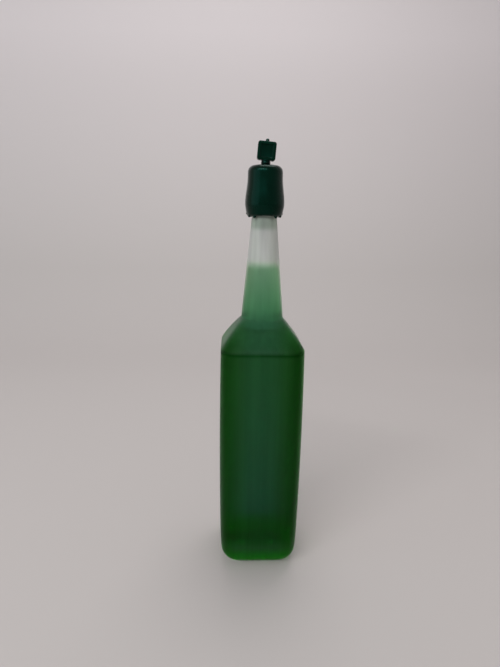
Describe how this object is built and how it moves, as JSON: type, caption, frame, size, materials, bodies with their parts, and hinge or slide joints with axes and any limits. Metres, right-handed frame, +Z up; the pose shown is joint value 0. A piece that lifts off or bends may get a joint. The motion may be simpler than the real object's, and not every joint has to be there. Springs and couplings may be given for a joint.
{
  "type": "liquid fertilizer bottle",
  "caption": "Small square blown bottle of green liquid plant feed, with a tapering neck and a bell-shaped cap whose tab twists off so that it drips into soil.",
  "frame": {"origin": "centre of the base, on the surface that the bottle stands on", "axes": "+Z up along the neck, front towards -Y, +X to the right, the side that the tab leans to"},
  "size_m": [0.024, 0.024, 0.1246],
  "materials": {
    "frosted_plastic": "satin natural polyethylene, translucent",
    "green_liquid": "clear deep green liquid",
    "dark_green_plastic": "satin moulded polyethylene"
  },
  "bodies": {
    "bottle": {"bottle": "frosted_plastic", "liquid": "green_liquid"},
    "cap": {"cap": "dark_green_plastic"}
  },
  "joints": [
    {"name": "cap_pull", "type": "slide", "parent": "bottle", "child": "cap", "axis": [0, 0, 1], "range_m": [0, 0.03]}
  ]
}
